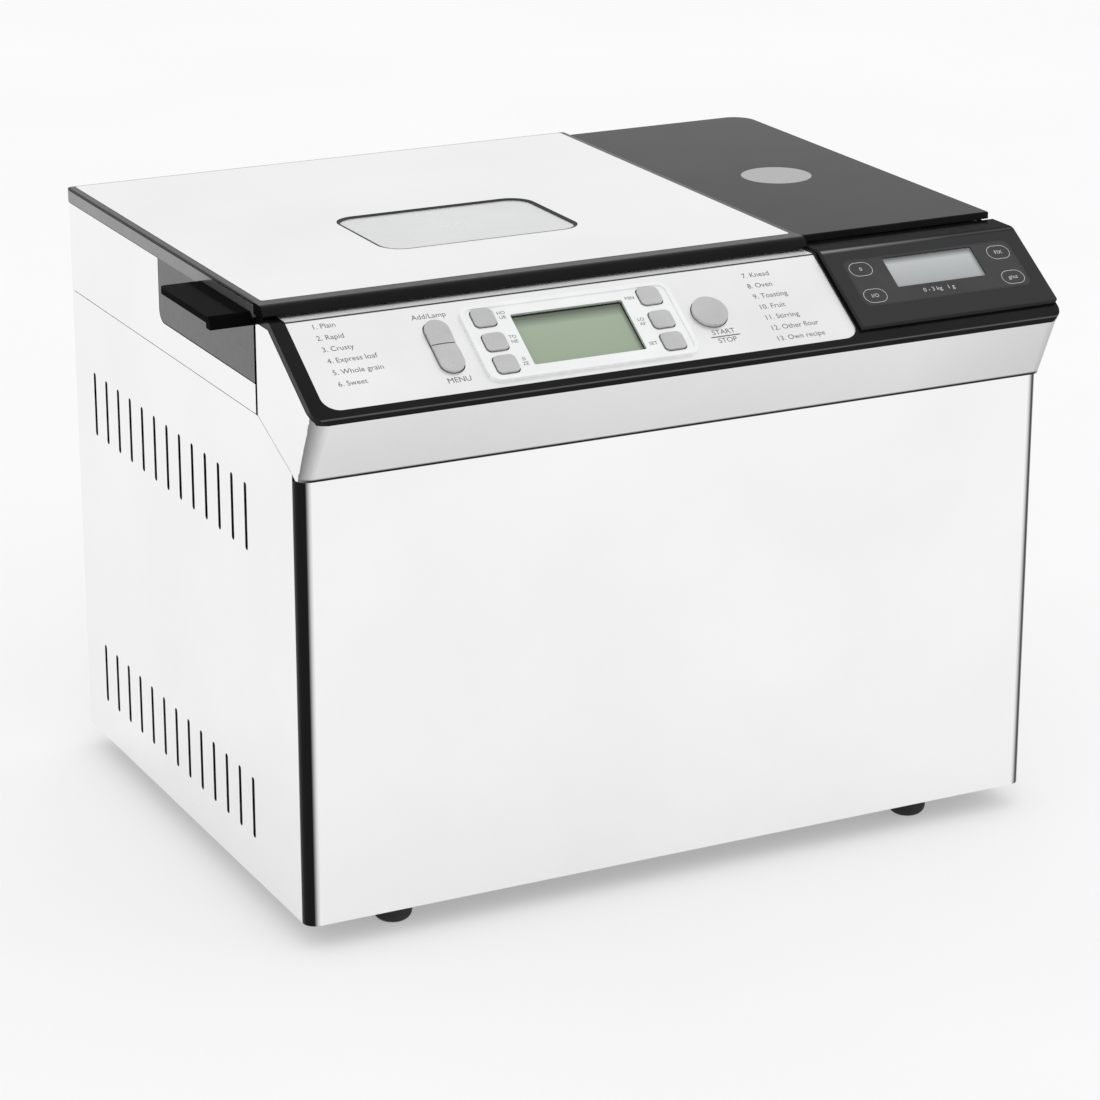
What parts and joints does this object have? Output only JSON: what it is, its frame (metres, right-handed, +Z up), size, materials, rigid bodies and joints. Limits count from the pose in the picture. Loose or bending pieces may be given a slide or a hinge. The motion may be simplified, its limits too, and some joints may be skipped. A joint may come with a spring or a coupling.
{
  "type": "bread machine",
  "caption": "Boxy polished-steel bread machine with a rear-hinged lid, sloped key and display console, side handle and a built-in glass kitchen scale.",
  "frame": {"origin": "middle of the machine's plan outline, at the level of the feet", "axes": "+X towards the scale side (right as seen from the front), +Y towards the back, +Z up"},
  "size_m": [0.4, 0.3064, 0.2914],
  "materials": {
    "polished_steel": "mirror-polished stainless steel",
    "satin_fascia": "satin silver sheet",
    "brushed_disc": "radially brushed",
    "black_gloss": "gloss black",
    "black_satin": "satin black",
    "bezel_silver": "silver paint",
    "key_grey": "soft grey paint",
    "display_green": "reflective liquid crystal",
    "display_grey": "reflective liquid crystal",
    "black_glass": "polished back-painted glass",
    "clear_glass": "heat-resistant glass",
    "film_black": "printed film",
    "rubber_black": "moulded",
    "silicone_grey": "silicone",
    "chamber_steel": "aluminised sheet",
    "pan_coating": "non-stick coating",
    "bright_steel": "turned or drawn steel",
    "heater_steel": "heat-darkened tube",
    "cast_alloy": "die cast",
    "motor_steel": "laminated stack",
    "board_green": "circuit board",
    "dark_plastic": "moulded"
  },
  "bodies": {
    "casing": {"base_plate": "dark_plastic", "feet": "rubber_black", "front_panel": "polished_steel", "left_side_panel": "polished_steel", "right_side_panel": "polished_steel", "back_panel": "chamber_steel", "left_upper_band": "polished_steel", "right_upper_band": "polished_steel", "case_screws": "bright_steel", "cord_gland": "dark_plastic", "top_deck": "black_satin", "console_housing": "polished_steel", "console_frame": "black_gloss", "control_fascia": "satin_fascia", "display_bezel": "bezel_silver", "main_display": "display_green", "control_board": "board_green", "scale_console": "black_gloss", "scale_film": "film_black", "scale_display": "display_grey", "load_cell": "cast_alloy", "baking_chamber": "chamber_steel", "heating_element": "heater_steel", "temperature_probe": "bright_steel", "lamp_lens": "clear_glass", "pan_clips": "bright_steel", "drive_belt": "rubber_black", "drive_housing": "cast_alloy", "motor": "motor_steel", "motor_bracket": "chamber_steel", "power_board": "board_green", "hinge_brackets": "bright_steel"},
    "lid": {"lid_top_plate": "polished_steel", "lid_frame": "black_gloss", "lid_window": "clear_glass", "lid_skirt": "black_gloss", "lid_inner_liner": "chamber_steel", "lid_gasket": "silicone_grey", "lid_handle": "black_satin", "hinge_pins": "bright_steel"},
    "weighing_platform": {"platform_glass": "black_glass", "platform_disc": "brushed_disc", "platform_carrier": "dark_plastic"},
    "pan": {"bread_pan": "pan_coating"},
    "bail": {"pan_bail": "bright_steel"},
    "paddle": {"pan_shaft": "bright_steel", "kneading_paddle": "pan_coating"},
    "main_drive": {"drive_shaft": "bright_steel", "large_pulley": "dark_plastic"},
    "motor_drive": {"motor_shaft": "bright_steel", "small_pulley": "cast_alloy"},
    "menu_key": {"menu_key": "key_grey"},
    "light_key": {"light_key": "key_grey"},
    "start_stop_key": {"start_stop_key": "key_grey"},
    "left_key_upper": {"left_key_upper": "key_grey"},
    "left_key_middle": {"left_key_middle": "key_grey"},
    "left_key_lower": {"left_key_lower": "key_grey"},
    "right_key_upper": {"right_key_upper": "key_grey"},
    "right_key_middle": {"right_key_middle": "key_grey"},
    "right_key_lower": {"right_key_lower": "key_grey"}
  },
  "joints": [
    {"name": "lid_hinge", "type": "hinge", "parent": "casing", "child": "lid", "pos_m": [-0.045, 0.1494, 0.2835], "axis": [-1, 0, 0], "range_deg": [0, 95]},
    {"name": "platform_press", "type": "slide", "parent": "casing", "child": "weighing_platform", "axis": [0, 0, -1], "range_m": [0, 0.0005], "stiffness_N_per_m": 58800},
    {"name": "pan_lift", "type": "slide", "parent": "casing", "child": "pan", "axis": [0, 0, 1], "range_m": [0, 0.014]},
    {"name": "bail_swing", "type": "hinge", "parent": "pan", "child": "bail", "pos_m": [-0.041, 0.0154, 0.2452], "axis": [-1, 0, 0], "range_deg": [0, 16]},
    {"name": "main_drive_spin", "type": "hinge", "parent": "casing", "child": "main_drive", "pos_m": [-0.041, 0.0154, 0.057], "axis": [0, 0, 1], "continuous": true},
    {"name": "paddle_spin", "type": "hinge", "parent": "pan", "child": "paddle", "pos_m": [-0.041, 0.0154, 0.108], "axis": [0, 0, 1], "continuous": true},
    {"name": "motor_spin", "type": "hinge", "parent": "casing", "child": "motor_drive", "pos_m": [0.142, 0.0154, 0.057], "axis": [0, 0, 1], "continuous": true},
    {"name": "menu_key_press", "type": "slide", "parent": "casing", "child": "menu_key", "axis": [0, 0.5461, -0.8377], "range_m": [0, 0.0008], "stiffness_N_per_m": 900},
    {"name": "light_key_press", "type": "slide", "parent": "casing", "child": "light_key", "axis": [0, 0.5461, -0.8377], "range_m": [0, 0.0008], "stiffness_N_per_m": 900},
    {"name": "start_stop_key_press", "type": "slide", "parent": "casing", "child": "start_stop_key", "axis": [0, 0.5461, -0.8377], "range_m": [0, 0.0008], "stiffness_N_per_m": 900},
    {"name": "left_key_upper_press", "type": "slide", "parent": "casing", "child": "left_key_upper", "axis": [0, 0.5461, -0.8377], "range_m": [0, 0.0008], "stiffness_N_per_m": 900},
    {"name": "left_key_middle_press", "type": "slide", "parent": "casing", "child": "left_key_middle", "axis": [0, 0.5461, -0.8377], "range_m": [0, 0.0008], "stiffness_N_per_m": 900},
    {"name": "left_key_lower_press", "type": "slide", "parent": "casing", "child": "left_key_lower", "axis": [0, 0.5461, -0.8377], "range_m": [0, 0.0008], "stiffness_N_per_m": 900},
    {"name": "right_key_upper_press", "type": "slide", "parent": "casing", "child": "right_key_upper", "axis": [0, 0.5461, -0.8377], "range_m": [0, 0.0008], "stiffness_N_per_m": 900},
    {"name": "right_key_middle_press", "type": "slide", "parent": "casing", "child": "right_key_middle", "axis": [0, 0.5461, -0.8377], "range_m": [0, 0.0008], "stiffness_N_per_m": 900},
    {"name": "right_key_lower_press", "type": "slide", "parent": "casing", "child": "right_key_lower", "axis": [0, 0.5461, -0.8377], "range_m": [0, 0.0008], "stiffness_N_per_m": 900}
  ],
  "couplings": [
    {"joint": "paddle_spin", "follows": "main_drive_spin", "ratio": 1},
    {"joint": "motor_spin", "follows": "main_drive_spin", "ratio": 5}
  ]
}
